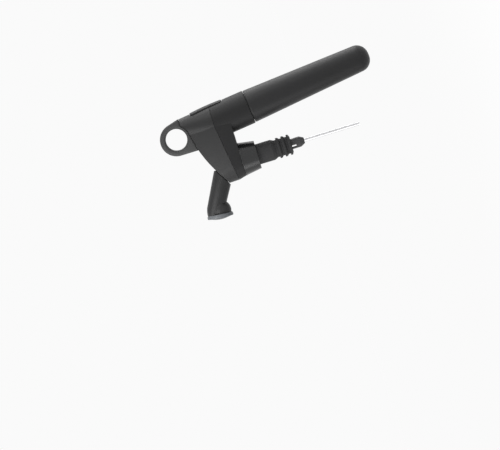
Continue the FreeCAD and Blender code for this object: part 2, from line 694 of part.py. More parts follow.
def foot_slab(label, skin, over):
    """The base's slab less a skin, from its underside to over the parting plane."""
    made = new_body(label)
    loft(made, [(stadium("tube_rad - slab_foot_inset - " + skin, "slab_foot_front + " + skin),
                 {"role": "XY_Plane", "z": "foot_z + " + skin}),
                (stadium(SLAB_PART_HALF + skin, "slab_part_front + " + skin), part_plane(over))])
    return made


def head_slab(label, skin, under):
    """The head's slab less a skin, from under the parting plane up."""
    made = new_body(label)
    loft(made, [(stadium(SLAB_PART_HALF + skin, "slab_part_front + " + skin), part_plane("-" + under)),
                (stadium("slab_top_half - " + skin, "slab_top_front + " + skin), HEAD_PLANE)])
    return made


def ridge(label, skin):
    """The ridge that carries the tube's line on over the head, less a skin."""
    made = new_body(label, HANDLE)
    half_turn = (Vector(0, 0, 1), "180")
    sections = [("tube_rad - " + skin, "0", "ridge_foot - tube_rad / 2"),
                ("tube_rad - " + skin, "0", "ridge_foot"),
                ("ridge_top_rad - " + skin, "-ridge_top_shift", "ridge_foot + ridge_len")]
    loft(made, [(lambda sketch, radius=radius, shift=shift: circle(sketch, radius, shift),
                 {"role": "XY_Plane", "turn": half_turn, "z": along}) for radius, shift, along in sections])
    return made


def soften(label, base, radius, wanted, kind="Part::Fillet"):
    """Round or bevel the edges of a solid that a test picks out."""
    doc.recompute()
    made = doc.addObject(kind, label)
    made.Label = label
    made.Base = base
    reach = size(radius)
    made.Edges = [(index, reach, reach)
                  for index, edge in enumerate(base.Shape.Edges, start=1) if wanted(edge)]
    return made


def trigger_block(label, side, ends, low, high):
    """A block with the trigger's rounded outline, standing out from the handle's axis."""
    made = new_body(label, HANDLE)
    half, corner = "(trigger_half + %s)" % side, "(trigger_corner + %s)" % side
    bottom, top = "(trigger_low - %s)" % ends, "(trigger_low + trigger_len + %s)" % ends
    extrude(made, lambda sketch: draw(sketch, [
        ("-%s" % half, "%s + %s" % (bottom, corner)), ("-%s + %s" % (half, corner), bottom, "-%s" % corner),
        ("%s - %s" % (half, corner), bottom), (half, "%s + %s" % (bottom, corner), "-%s" % corner),
        (half, "%s - %s" % (top, corner)), ("%s - %s" % (half, corner), top, "-%s" % corner),
        ("-%s + %s" % (half, corner), top), ("-%s" % half, "%s - %s" % (top, corner), "-%s" % corner)]),
        "(%s) - (%s)" % (high, low), side="One side", role="YZ_Plane", z=low)
    return made


def pivot_rod(label, radius, half):
    """A rod along the trigger's pivot."""
    made = new_body(label, HANDLE)
    extrude(made, lambda sketch: circle(sketch, radius, BASE + "pivot_out", "pivot_along"),
            "2 * (%s)" % half)
    return made


def slot_tool(label):
    """The room that the trigger needs in both shells."""
    return trigger_block(label, "slot_side_gap", "slot_end_gap", "slot_depth", "tube_rad * 1.4")


def housing():
    """Base housing and head shell, with a groove along their parting line and the base's lip behind it."""
    below = [(FAR, "-" + FAR), ("-" + AHEAD, "-" + FAR)]
    tube = turned("tube_form", [
        ("0", "seam_gap"), ("tube_rad - mouth_round", "seam_gap"), ("tube_rad", "seam_gap + mouth_round"),
        ("tube_rad", "ridge_foot + ridge_len"), ("0", "ridge_foot + ridge_len")], HANDLE)
    outside = shared("base_form", fused("base_blank", foot_slab("foot_form", "0", "0"), tube),
                     extruded("under_parting", parting_corners() + below, "3 * tube_rad"))
    core = turned("tube_core", disc("tube_rad - groove_deep", "2 * seam_gap", "ridge_foot + ridge_len"),
                  HANDLE)
    lip = shared("lip_form", fused("lip_blank", foot_slab("lip_slab", "groove_deep", OVERLAP), core),
                 extruded("under_lip", parting_corners("part_groove") + below, "3 * tube_rad"))
    form = fused("base_solid", outside, lip)
    bore = turned("tube_bore", disc("flange_rad + seat", "-seam_gap", "ridge_foot + ridge_len"), HANDLE)
    holes = [turned("probe_hole", disc("probe_rad + seat", "0", "foot_z + 2 * wall"))]
    for index, way in enumerate(("1", "-1")):
        pilot = turned("pilot_%d" % index, disc("screw_rad + seat", "foot_z + wall - screw_bite",
                                                "foot_z + 2 * wall"))
        bind(pilot, **{".Placement.Base.x": "%s * screw_out" % way})
        holes.append(pilot)
    hollow = fused("base_hollow", foot_slab("foot_hollow", "wall", OVERLAP), bore, slot_tool("base_slot"),
                   *holes)
    spigot = turned("spigot", ring("spigot_rad - spigot_wall", "spigot_rad", "foot_z - spigot_len",
                                   "foot_z + wall - screw_bite"))
    node(fused("base_housing", without("base_shell", form, hollow), spigot))

    over = parting_corners("part_groove") + head_corners("0")
    inner = [("-" + AHEAD, "foot_z"), (FAR, "foot_z")] + head_corners("wall")
    head = shared("head_form",
                  fused("head_blank", head_slab("head_slab_form", "0", "0"), ridge("ridge_form", "0")),
                  extruded("over_parting", over, "3 * tube_rad"))
    cavity = shared("head_cavity", fused("cavity_blank", head_slab("head_slab_hollow", "wall", OVERLAP),
                                         ridge("ridge_hollow", "wall")),
                    extruded("in_parting", inner, "3 * tube_rad"))
    nipple_hole = turned("nipple_hole", disc("spout_rad + seat", "-face_back - 3 * wall",
                                             "face_back + 3 * wall"), SPOUT)
    tongue_slot = ring_tongue("tongue_slot", "seat")
    node(without("head_shell", head, fused("head_hollow", cavity, nipple_hole, slot_tool("head_slot"),
                                           pivot_rod("pivot_hole", "pivot_rad + seat", "pivot_half + seat"),
                                           tongue_slot)))


def ring_tongue(label, room):
    """The tongue along the finger ring's foot, with a heel under the ring's back corner."""
    made = new_body(label)
    front, back = "-tongue_front - " + room, "tongue_back + " + room
    root = "(ring_foot_rad - ring_gap)"
    width = "tongue_thick + 2 * " + room
    extrude(made, lambda sketch: draw(sketch, [
        (front, "-ring_foot_rad - tongue_len - " + room), (back, "-ring_foot_rad - tongue_len - " + room),
        (back, "-sqrt(%s * %s - (%s) * (%s))" % (root, root, back, back)), ("0", "-" + root, root),
        (front, "-" + root)]), width, turn=(Vector(0, 0, 1), "ring_foot_slope"), x="ring_x", y="ring_z")
    extrude(made, lambda sketch: draw(sketch, rectangle(
        "ring_x + tongue_back * 0.8", RING_BACK + " - tongue_len / 2 - " + room,
        "ring_back_x - heel_inset + " + room, RING_BACK + " + ring_gap")), width)
    return made


def finger_ring():
    """The loop at the end of the head, with its bevelled hole and its tongue."""
    foot_line = "ring_z - ring_foot_rad / cos(ring_foot_slope) - ring_rad * tan(ring_foot_slope)"
    drop = "ring_back_z"
    rim = "ring_rad * cos(ring_back_turn)"
    plate = new_body("ring_plate")
    extrude(plate, lambda sketch: draw(sketch, [
        ("ring_x - ring_rad", "ring_z", "-ring_rad"), ("ring_x - ring_rad", foot_line),
        ("ring_x + ring_foot_rad * sin(ring_foot_slope)", "ring_z - ring_foot_rad * cos(ring_foot_slope)"),
        ("ring_x + sqrt(ring_foot_rad * ring_foot_rad - %s * %s)" % (drop, drop), RING_BACK,
         "-ring_foot_rad"),
        ("ring_back_x", RING_BACK),
        ("ring_x + " + rim, "ring_z + ring_rad * sin(ring_back_turn)"),
        ("ring_x", "ring_z + ring_rad", "-ring_rad")]), "ring_thick")
    extrude(plate, lambda sketch: circle(sketch, "ring_hole_rad", "ring_x", "ring_z"), "2 * ring_thick",
            cut=True)
    centre = Vector(size("ring_x"), 0, size("ring_z"))
    hole, side = size("ring_hole_rad"), size("ring_thick / 2")

    def on_side(edge):
        return all(abs(abs(vertex.Point.y) - side) < 1e-6 for vertex in edge.Vertexes)

    def on_hole(edge):
        point = edge.valueAt(edge.FirstParameter)
        return on_side(edge) and abs(Vector(point.x, 0, point.z).distanceToPoint(centre) - hole) < 1e-6

    def on_outline(edge):
        high = max(vertex.Point.z for vertex in edge.Vertexes)
        return on_side(edge) and not on_hole(edge) and high > size(RING_BACK) + 1

    bevelled = soften("ring_bevelled", plate, "ring_bevel", on_hole, "Part::Chamfer")
    rounded_plate = soften("ring_rounded", bevelled, "ring_edge", on_outline)
    node(fused("finger_ring", rounded_plate, ring_tongue("tongue", "0")))


# ---------------------------------------------------------------- trigger
def trigger():
    """Thumb trigger with its lugs and push post, and the pin it turns on."""
    low, high = "trigger_low", "(trigger_low + trigger_len)"
    low_skin, top_skin = "tube_rad + trigger_low_proud", "tube_rad + trigger_top_proud"
    low_inner, top_inner = low_skin + " - trigger_thick", top_skin + " - trigger_thick"
    pin = BASE + "pivot_out"
    crown = turned("trigger_crown", [
        ("slot_depth", low), (low_inner, low), (low_skin + " - trigger_edge", low),
        (low_skin, low + " + trigger_edge", "-trigger_edge"),
        (top_skin, high + " - trigger_edge", "-trigger_crown_rad"),
        (top_skin + " - trigger_edge", high, "-trigger_edge"),
        (top_inner, high), ("slot_depth", high)], HANDLE)
    under = turned("trigger_under", [
        ("0", "0"), (low_inner, "0"), (low_inner, low), (top_inner, high),
        (top_inner, high + " + slot_depth"), ("0", high + " + slot_depth")], HANDLE)
    block = trigger_block("trigger_blank", "0", "0", "slot_depth", "tube_rad * 1.4")
    plate = without("trigger_plate", shared("trigger_skin", block, crown), under)
    lugs = []
    for name, middle in (("left_lug", "-(lug_half - lug_thick / 2)"),
                         ("right_lug", "(lug_half - lug_thick / 2)")):
        lug = new_body(name, HANDLE)
        root = "tube_rad + trigger_top_proud - trigger_thick * 0.85"
        extrude(lug, lambda sketch: draw(sketch, [
            (pin, "pivot_along - lug_rad", "-lug_rad"), (root, "pivot_along - lug_rad * 1.3"),
            (root, "pivot_along + lug_rad * 0.8"), (pin, "pivot_along + lug_rad"),
            (pin + " - lug_rad", "pivot_along", "-lug_rad")]), "lug_thick", z=middle)
        lugs.append(lug)
    post = turned("trigger_post", disc("post_rad", BASE + "stem_head_out + post_gap",
                                        low_inner + " + trigger_edge"),
                  HANDLE, role="XZ_Plane", turn=(Vector(0, 0, 1), "-90"), y="valve_along")
    hole = pivot_rod("lug_hole", "pivot_rad + running", "2 * lug_half")
    node(without("trigger_button", fused("trigger_solid", plate, post, *lugs), hole))
    node(pivot_rod("trigger_pin", "pivot_rad", "pivot_half"))


# ---------------------------------------------------------------- wine and gas path
def wine_path():
    """Manifold on the housing's floor, its screws, the probe sleeve, the gas tube and the seals."""
    floor = "foot_z + wall + seat"
    roof = [("-" + AHEAD, "0"), (FAR, "0")] + head_corners("wall + seat")
    ears = []
    for index, way in enumerate(("1", "-1")):
        ear = turned("ear_%d" % index, disc("ear_rad", floor, floor + " + ear_high"))
        bind(ear, **{".Placement.Base.x": "%s * screw_out" % way})
        ears.append(ear)
    manifold_post = turned("manifold_post", disc("manifold_rad", floor, "chamber_high * 2"))
    blank = fused("manifold_blank", manifold_post, *ears)
    solid = shared("manifold_form", blank, extruded("under_face", roof, "3 * tube_rad"))
    socket_skin = "probe_rad + seat"
    chamber = turned("chamber", [
        ("0", "foot_z"), (socket_skin, "foot_z"), (socket_skin, "probe_top + seat"),
        ("probe_bore_rad + loose", "probe_top + seat"), ("probe_bore_rad + loose", "chamber_low"),
        ("chamber_rad", "chamber_low + chamber_rad * 0.25"),
        ("chamber_rad", "chamber_high - chamber_rad * 0.6"),
        ("chamber_rad * 0.4", "chamber_high"), ("0", "chamber_high")])
    spout_hole = turned("spout_hole", disc("spout_rad + seat", "spout_root", "face_back + 3 * wall"), SPOUT)
    gas_hole = new_body("gas_hole")
    extrude(gas_hole, lambda sketch: circle(sketch, "gas_rad + seat", "0", "gas_level"),
            "2 * manifold_rad", side="One side", role="YZ_Plane", z="0")
    holes = [chamber, spout_hole, gas_hole]
    for index, way in enumerate(("1", "-1")):
        hole = turned("ear_hole_%d" % index, disc("screw_rad + seat", "foot_z", floor + " + 2 * ear_high"))
        bind(hole, **{".Placement.Base.x": "%s * screw_out" % way})
        holes.append(hole)
    groove = turned("probe_groove", ring("probe_rad", "probe_rad + seal_rad * 1.6", "seal_seat_z",
                                         "seal_seat_z + seal_rad * 2.2"))
    node(without("wine_manifold", solid, fused("manifold_holes", groove, *holes)))
    node(o_ring("probe_seal", "probe_rad + seat", "seal_rad * 0.75", "seal_seat_z + seal_rad * 1.1"))
    screws = []
    for index, way in enumerate(("1", "-1")):
        head = floor + " + ear_high + seat"
        screw = turned("screw_%d" % index, [
            ("0", "foot_z + wall - screw_bite + seat"), ("screw_rad", "foot_z + wall - screw_bite + seat"),
            ("screw_rad", head), ("screw_head_rad", head),
            ("screw_head_rad", head + " + screw_head_high * 0.6"),
            ("screw_head_rad * 0.6", head + " + screw_head_high"), ("0", head + " + screw_head_high")])
        bind(screw, **{".Placement.Base.x": "%s * screw_out" % way})
        screws.append(screw)
    node(group("manifold_screws", screws))
    sleeve = new_body("probe_sleeve")
    revolve(sleeve, [
        ("gas_rad + seat", "probe_end"), ("gas_rad + probe_tip * 0.3", "probe_end"),
        ("probe_rad", "probe_end + probe_tip"), ("probe_rad", "probe_top"),
        ("probe_bore_rad", "probe_top"), ("probe_bore_rad", "probe_end + probe_tip"),
        ("gas_rad + seat", "probe_end + probe_tip * 0.6")])
    port = extrude(sleeve, lambda sketch: draw(sketch, rectangle(
        "-port_width / 2", "port_low", "port_width / 2", "port_low + port_len")), "2 * probe_rad", cut=True,
        side="One side", role="YZ_Plane", flip=True)
    polar(sleeve, port, 3, "Z_Axis")
    node(sleeve)
    node(gas_tube())


def group(label, pieces):
    """Identical pieces kept together as separate solids."""
    made = doc.addObject("Part::Compound", label)
    made.Label = label
    made.Links = pieces
    return made


def gas_tube():
    """Steel tube from the regulator over to the probe and down past its tip."""
    socket_floor = Vector(size("-regulator_rad + gas_socket - seat"), 0, size("gas_port_along"))
    start = frame_now(HANDLE).multVec(socket_floor)
    level, bend, end = size("gas_level"), size("gas_bend_rad"), size("gas_end")
    slant = Vector(size("-cos(lean)"), 0, size("-sin(lean)"))
    corner = start + slant * ((start.z - level) / -slant.z) if start.z > level else Vector(start.x, 0, level)
    knee = Vector(0, 0, level)
    path = rounded([start, corner, knee, Vector(0, 0, end)], [bend * 2.4, bend])
    outer = sweep_round(path, size("gas_rad"))
    inner = sweep_round(path, size("gas_bore_rad"))
    made = doc.addObject("Part::Feature", "gas_tube")
    made.Label = "gas_tube"
    made.Shape = outer.cut(inner)
    return made


def rounded(points, radii):
    """A wire of straight runs joined by tangent arcs."""
    edges, here = [], points[0]
    for index, radius in enumerate(radii, start=1):
        corner = points[index]
        back = (points[index - 1] - corner).normalize()
        ahead = (points[index + 1] - corner).normalize()
        reach = radius / math.tan(back.getAngle(ahead) / 2)
        first, last = corner + back * reach, corner + ahead * reach
        centre_way = (back + ahead).normalize()
        depth = (reach * reach + radius * radius) ** 0.5 - radius
        edges += [Part.LineSegment(here, first).toShape(),
                  Part.Arc(first, corner + centre_way * depth, last).toShape()]
        here = last
    edges.append(Part.LineSegment(here, points[-1]).toShape())
    return Part.Wire(edges)


def sweep_round(path, radius):
    """A round bar along a wire."""
    first = path.OrderedEdges[0]
    way = first.tangentAt(first.FirstParameter)
    section = Part.Wire(Part.makeCircle(radius, first.valueAt(first.FirstParameter), way))
    return path.makePipeShell([section], True, False)


# ---------------------------------------------------------------- spout and aerator
ROSE = {"role": "XZ_Plane", "turn": (Vector(0, 0, 1), "rose_turn"), "x": "rose_off", "y": "rose_along"}
DOME = dict(ROSE, x="rose_off - dome_off * cos(rose_turn)", y="rose_along - dome_off * sin(rose_turn)")


def spout():
    """The nipple that stands out of the spout face, with its seal."""
    groove_low = "spout_groove_at - seal_rad - seat"
    groove_high = "spout_groove_at + seal_rad + seat"
    groove = "spout_rad - spout_groove"
    node(turned("spout_tube", [
        ("spout_bore_rad", "spout_root"), ("spout_rad", "spout_root"), ("spout_rad", groove_low),
        (groove, groove_low), (groove, groove_high), ("spout_rad", groove_high),
        ("spout_rad", "spout_tip - spout_lead"), ("spout_rad - spout_lead * 0.75", "spout_tip"),
        ("spout_bore_rad", "spout_tip")],
        SPOUT))
    node(o_ring("spout_seal", groove + " + seat", "(loose - running + spout_groove - seat) / 2",
                "spout_groove_at", SPOUT))


def mitre_line(across):
    """Height of the aerator's mitred end, at a distance across the spout's axis."""
    return "mitre_gap / cos(mitre_slope) - face_back - (%s) * tan(mitre_slope)" % across


def rose_holes(made, radius, count, at, depth):
    """One ring of holes through a round plate."""
    hole = extrude(made, lambda sketch: circle(sketch, radius, at), depth, cut=True,
                   role="XY_Plane")
    if count > 1:
        polar(made, hole, count, "Z_Axis")


def aerator():
    """Tube, dome, rim, air screen and perforated spray face that push on the spout."""
    body = new_body("aerator_body", SPOUT)
    tube_end = "rose_along + dome_rad"
    revolve(body, [("0", "-aerator_root_rad"), ("aerator_root_rad", "-aerator_root_rad"),
                   ("aerator_tube_rad", tube_end), ("0", tube_end)])
    edge = "-rim_thick / 2"
    beyond = "3 * dome_rad"
    revolve(body, [("flank_mouth", edge), ("flank_rad", "-flank_back", "flank_bow"), (beyond, "-flank_back"),
                   (beyond, beyond), ("0", beyond), ("0", edge)], cut=True, **ROSE)
    opening = "sqrt(dome_rad * dome_rad - (dome_back - rim_thick / 2) * (dome_back - rim_thick / 2))"
    revolve(body, [("0", "-dome_back - dome_rad"), ("dome_rad", "-dome_back", "-dome_rad"),
                   (opening, edge, "-dome_rad"), ("0", edge)], **DOME)
    corner = "(aerator_root_rad - aerator_corner)"
    far = "2.5 * aerator_root_rad"
    extrude(body, lambda sketch: draw(sketch, [
        ("-" + far, mitre_line("-" + far)), (corner, mitre_line(corner)),
        ("aerator_root_rad", mitre_line(corner) + " + aerator_corner * 0.45", "-aerator_corner"),
        (far, mitre_line(corner) + " + aerator_corner * 0.45"), (far, "-2 * " + far),
        ("-" + far, "-2 * " + far)]), "4 * aerator_root_rad", cut=True)
    socket = "spout_rad + loose"
    stop = "spout_tip + seat"
    bore = "spout_bore_rad + seat"
    revolve(body, [("0", "-aerator_root_rad * 2"), (socket, "-aerator_root_rad * 2"), (socket, stop),
                   (bore, stop), (bore, "rose_along - dome_back"), ("0", "rose_along - dome_back")], cut=True)
    hollow = "dome_rad - dome_wall"
    mouth = "sqrt((%s) * (%s) - (dome_back - rim_thick / 2) * (dome_back - rim_thick / 2))" % (hollow, hollow)
    revolve(body, [("0", "-dome_back - (%s)" % hollow), (hollow, "-dome_back", "-(%s)" % hollow),
                   (mouth, edge, "-(%s)" % hollow), (mouth, "rim_thick"), ("0", "rim_thick")],
            cut=True, **DOME)
    node(body)

    seat_in = "rim_rad - rim_wall"
    inner = mouth + " - rim_edge"
    node(turned("aerator_rim", [
        (inner, edge + " + seat"), ("flank_mouth", edge + " + seat"), ("rim_rad", "-rim_thick * 0.1"),
        ("rim_rad", "rim_thick / 2 - rim_edge"), ("rim_rad - rim_edge", "rim_thick / 2"),
        (seat_in, "rim_thick / 2"), (seat_in, "0"), (inner, "0")], SPOUT, **ROSE))
    plate_rad = seat_in + " - seat"
    face = new_body("aerator_face")
    rise = "rose_thick + rose_crown_rad - sqrt(rose_crown_rad * rose_crown_rad - rim_rad * rim_rad)"
    revolve(face, [("0", "seat + %s - rose_thick" % rise),
                   (plate_rad, "seat", "rose_crown_rad - rose_thick"), (plate_rad, "seat + rose_thick"),
                   ("0", "seat + " + rise, "-rose_crown_rad")])
    for count, at in ((1, "0"), (6, "rose_pitch"), (12, "rose_pitch * 2"), (18, "rose_pitch * 3")):
        rose_holes(face, "rose_hole_rad", count, at, "4 * rim_thick")
    stand_rose(face)
    node(face)
    screen = new_body("aerator_screen")
    revolve(screen, disc(inner + " - seat", "-rim_thick * 0.35", "-rim_thick * 0.35 + screen_thick"))
    for count, at in ((1, "0"), (8, "dome_rad * 0.48")):
        rose_holes(screen, "rose_pitch * 0.45", count, at, "4 * rim_thick")
    stand_rose(screen)
    node(screen)


def stand_rose(target):
    """Place a turned plate on the spray face's own axis."""
    lean = "spout_lean + rose_turn"
    centre_x = "spout_x - sin(spout_lean) * rose_along + cos(spout_lean) * rose_off"
    centre_z = "spout_z + cos(spout_lean) * rose_along + sin(spout_lean) * rose_off"
    stand(target, (centre_x, centre_z, lean))


# ---------------------------------------------------------------- build, check and write
def check(piece):
    """Stop on a piece that is empty, broken or not solid."""
    shape = piece.Shape
    if shape.isNull() or not shape.isValid() or not shape.Solids:
        raise RuntimeError("%s has no valid solid" % piece.Label)


stopper()
handle()
piercer()
housing()
finger_ring()
trigger()
wine_path()
spout()
aerator()
doc.recompute()
for item in doc.Objects:
    if "Invalid" in item.State or "Error" in item.State:
        raise RuntimeError("%s: %s" % (item.Label, item.getStatusString()))
for piece in NODES:
    check(piece)
    piece.Shape.exportStep("parts/%s.step" % piece.Label)
    print("%-22s %2d solid(s) %9.1f mm3" % (piece.Label, len(piece.Shape.Solids), piece.Shape.Volume))
print("%d nodes" % len(NODES))
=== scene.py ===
"""Finishes, screw threads, spring and studio of a one-hand wine preserver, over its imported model."""

import json
import logging
import math
from dataclasses import dataclass, field
from enum import Enum
from typing import Any, Mapping, Sequence, Union

import bmesh
import bpy
from mathutils import Matrix, Vector


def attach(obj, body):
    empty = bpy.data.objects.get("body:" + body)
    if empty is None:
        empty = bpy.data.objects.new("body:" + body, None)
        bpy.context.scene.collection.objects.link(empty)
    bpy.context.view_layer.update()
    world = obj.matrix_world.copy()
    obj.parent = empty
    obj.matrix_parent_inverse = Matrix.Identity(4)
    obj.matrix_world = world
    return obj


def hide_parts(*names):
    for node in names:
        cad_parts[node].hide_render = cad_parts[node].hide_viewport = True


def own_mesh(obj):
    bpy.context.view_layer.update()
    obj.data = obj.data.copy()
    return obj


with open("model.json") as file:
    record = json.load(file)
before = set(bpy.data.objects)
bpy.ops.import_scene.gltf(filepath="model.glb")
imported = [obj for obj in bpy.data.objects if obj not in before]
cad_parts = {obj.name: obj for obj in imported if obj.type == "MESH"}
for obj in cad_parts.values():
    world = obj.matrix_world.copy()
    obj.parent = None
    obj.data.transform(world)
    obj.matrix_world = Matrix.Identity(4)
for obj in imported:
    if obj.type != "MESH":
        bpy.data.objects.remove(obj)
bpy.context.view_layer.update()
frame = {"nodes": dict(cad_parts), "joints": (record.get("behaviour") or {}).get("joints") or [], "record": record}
LOG = logging.getLogger("wine_preserver")
MM = 0.001
Colour = tuple[float, float, float]
Number = Union[float, "Signal"]


# ---------------------------------------------------------------- shader maths
@dataclass(frozen=True)
class Signal:
    """A number that varies over a surface; arithmetic on it adds Math nodes to its graph.

    Args:
        graph: The graph that new nodes go into.
        socket: The output that carries the number.
    """

    graph: "Graph"
    socket: bpy.types.NodeSocket

    def _maths(self, operation: str, first: Number, second: Number) -> "Signal":
        """Add one Math node.

        Args:
            operation: The node's operation.
            first: Its first value.
            second: Its second value.

        Returns:
            The node's result.
        """
        node = self.graph.add("ShaderNodeMath", {"operation": operation},
                              {"Value": first, "Value_001": second})
        return Signal(self.graph, node.outputs["Value"])

    def __add__(self, other: Number) -> "Signal":
        """self + other."""
        return self._maths("ADD", self, other)

    __radd__ = __add__

    def __sub__(self, other: Number) -> "Signal":
        """self - other."""
        return self._maths("SUBTRACT", self, other)

    def __rsub__(self, other: Number) -> "Signal":
        """other - self."""
        return self._maths("SUBTRACT", other, self)

    def __mul__(self, other: Number) -> "Signal":
        """self * other."""
        return self._maths("MULTIPLY", self, other)

    __rmul__ = __mul__

    def centred(self, spread: float) -> "Signal":
        """self, which runs from 0 to 1, spread evenly round zero."""
        return (self - 0.5) * spread

    def limited(self) -> "Signal":
        """self, held between 0 and 1."""
        return self._maths("MINIMUM", self._maths("MAXIMUM", self, 0.0), 1.0)


@dataclass(frozen=True)
class Clouds:
    """Soft noise that varies a surface.

    Args:
        size: Size of its clouds, in metres.
        detail: Number of finer layers.
        strength: Strength of the finer layers.
    """

    size: float
    detail: float = 2.0
    strength: float = 0.5


@dataclass
class Graph:
    """The node graph of one material or of the world.

    Args:
        tree: The node tree that it adds to.
    """

    tree: bpy.types.NodeTree

    @classmethod
    def of(cls, owner: bpy.types.ID) -> "Graph":
        """Empty the node tree of a material or world and wrap it.

        Args:
            owner: The material or world.

        Returns:
            Its graph.
        """
        owner.use_nodes = True
        owner.node_tree.nodes.clear()
        return cls(owner.node_tree)

    def add(self, kind: str, settings: Mapping[str, Any] | None = None,
            values: Mapping[str, Any] | None = None) -> bpy.types.Node:
        """Add a node of any kind.

        Args:
            kind: The node's type.
            settings: Its own settings, which are set first.
            values: What its inputs hold, by identifier: a number, a colour, a Signal or an output.

        Returns:
            The node.
        """
        node = self.tree.nodes.new(kind)
        for name, setting in (settings or {}).items():
            setattr(node, name, setting)
        for name, value in (values or {}).items():
            target = next(socket for socket in node.inputs if socket.identifier == name)
            if isinstance(value, Signal):
                value = value.socket
            if isinstance(value, bpy.types.NodeSocket):
                self.tree.links.new(value, target)
            elif target.type == "RGBA" and len(value) == 3:
                target.default_value = (*value, 1.0)
            else:
                target.default_value = value
        return node

    def signal(self, socket: bpy.types.NodeSocket) -> Signal:
        """Wrap an output as a number that can be worked with."""
        return Signal(self, socket)

    def place(self) -> bpy.types.NodeSocket:
        """Coordinates of the surface in metres, in the object's own frame."""
        return self.add("ShaderNodeTexCoord").outputs["Object"]

    def noise(self, clouds: Clouds, place: bpy.types.NodeSocket | None = None) -> Signal:
        """Cloudy noise between 0 and 1.

        Args:
            clouds: Its size and detail.
            place: Coordinates, where they aren't the object's own.

        Returns:
            The noise.
        """
        node = self.add("ShaderNodeTexNoise", {}, {
            "Vector": place or self.place(), "Scale": 1.0 / clouds.size,
            "Detail": clouds.detail, "Roughness": clouds.strength})
        return self.signal(node.outputs[0])

    def mixed(self, amount: Number, first: Any, second: Any) -> bpy.types.NodeSocket:
        """Mix two colours.

        Args:
            amount: Share of the second colour.
            first: A colour or an output.
            second: A colour or an output.

        Returns:
            The mixed colour.
        """
        node = self.add("ShaderNodeMix", {"data_type": "RGBA"}, {
            "Factor_Float": amount, "A_Color": first, "B_Color": second})
        return next(socket for socket in node.outputs if socket.identifier == "Result_Color")

    def soft_normal(self, radius: float, samples: int = 6) -> bpy.types.NodeSocket:
        """Normal of the surface with its edges rounded off.

        Args:
            radius: Radius that the edges seem to have, in metres.
            samples: Number of rays that look for edges.

        Returns:
            The normal.
        """
        return self.add("ShaderNodeBevel", {"samples": samples}, {"Radius": radius}).outputs["Normal"]

    def edges(self, normal: bpy.types.NodeSocket, rise: float = 6.0) -> Signal:
        """How far a softened normal turns from the real one.

        Args:
            normal: The softened normal.
            rise: How fast the result rises with the turn.

        Returns:
            0 on a face, rising to 1 at its edges.
        """
        real = self.add("ShaderNodeNewGeometry").outputs["Normal"]
        dot = self.add("ShaderNodeVectorMath", {"operation": "DOT_PRODUCT"},
                       {"Vector": normal, "Vector_001": real})
        return ((1.0 - self.signal(dot.outputs["Value"])) * rise).limited()

    def bump(self, height: Number, depth: float,
             normal: bpy.types.NodeSocket | None = None) -> bpy.types.NodeSocket:
        """Raise a relief on the surface.

        Args:
            height: The relief, from 0 to 1.
            depth: How high 1 stands, in metres.
            normal: The normal that it starts from.

        Returns:
            The bumped normal.
        """
        values = {"Height": height, "Distance": depth, "Strength": 1.0}
        if normal is not None:
            values["Normal"] = normal
        return self.add("ShaderNodeBump", {}, values).outputs["Normal"]

    def finish(self, **values: Any) -> None:
        """Close a material with a Principled shader; underscores in names stand for spaces."""
        shader = self.add("ShaderNodeBsdfPrincipled", {}, {name.replace("_", " "): value
                                                           for name, value in values.items()})
        self.add("ShaderNodeOutputMaterial", {}, {"Surface": shader.outputs["BSDF"]})


def shaded(colour: Colour, factor: float) -> Colour:
    """A colour made lighter or darker by a factor."""
    return tuple(channel * factor for channel in colour)


# ---------------------------------------------------------------- finishes
@dataclass(frozen=True)
class Finish:
    """What every finish has.

    Args:
        name: The material's name.
        colour: Linear colour.
        roughness: Roughness of its faces.
        shades: Factors of the colour at the two ends of its clouds.
        clouds: Clouds in its colour and gloss.
        uneven: Spread of the roughness over the clouds.
        grain: Relief of its skin.
        depth: Depth of that relief, in metres.
        edge: Radius that its sharp edges seem to have, in metres.
        ior: Index of refraction.
    """

    name: str
    colour: Colour
    roughness: float = 0.5
    shades: tuple[float, float] = (0.9, 1.1)
    clouds: Clouds = Clouds(9 * MM)
    uneven: float = 0.12
    grain: Clouds = Clouds(0.3 * MM)
    depth: float = 0.01 * MM
    edge: float = 0.4 * MM
    ior: float = 1.5

    def material(self) -> bpy.types.Material:
        """Make the material.

        Returns:
            The material, with its shader built.
        """
        made = bpy.data.materials.new(self.name)
        self.shade(Graph.of(made))
        return made

    def shade(self, graph: Graph) -> None:
        """Build the shader in a graph; each kind of finish has its own."""
        raise NotImplementedError

    def toned(self, graph: Graph, amount: Signal) -> bpy.types.NodeSocket:
        """The colour between its two shades.

        Args:
            graph: The graph that it goes into.
            amount: Share of the second shade.

        Returns:
            The colour.
        """
        return graph.mixed(amount, *(shaded(self.colour, factor) for factor in self.shades))


@dataclass(frozen=True)
class EdgeWearAndHighlightFinish(Finish):
    """A dull finish whose edges are painted lighter: partly wear from handling, partly a painted highlight along
    the edges.

    Args:
        edge_wear_and_highlight: Share of the lighter colour at an edge, partly wear and partly a painted
            highlight.
        edge_wear_and_highlight_shade: Factor of the colour at an edge, lightened by wear and by a painted
            highlight.
        gloss: Level of its mirror reflection.
    """

    edge_wear_and_highlight: float = 0.35
    edge_wear_and_highlight_shade: float = 2.1
    gloss: float = 0.22

    def worn_and_highlit(self, graph: Graph, worn_and_highlit_edges: Signal, under: bpy.types.NodeSocket) -> bpy.types.NodeSocket:
        """A colour with edges painted lighter, partly as wear and partly as a painted highlight.

        Args:
            graph: The graph that it goes into.
            worn_and_highlit_edges: 0 on a face, rising to 1 at its edges.
            under: The colour of the faces.

        Returns:
            The colour.
        """
        # Edges painted lighter: partly wear, partly a painted highlight along every edge.
        return graph.mixed(worn_and_highlit_edges * self.edge_wear_and_highlight, under, shaded(self.colour, self.edge_wear_and_highlight_shade))


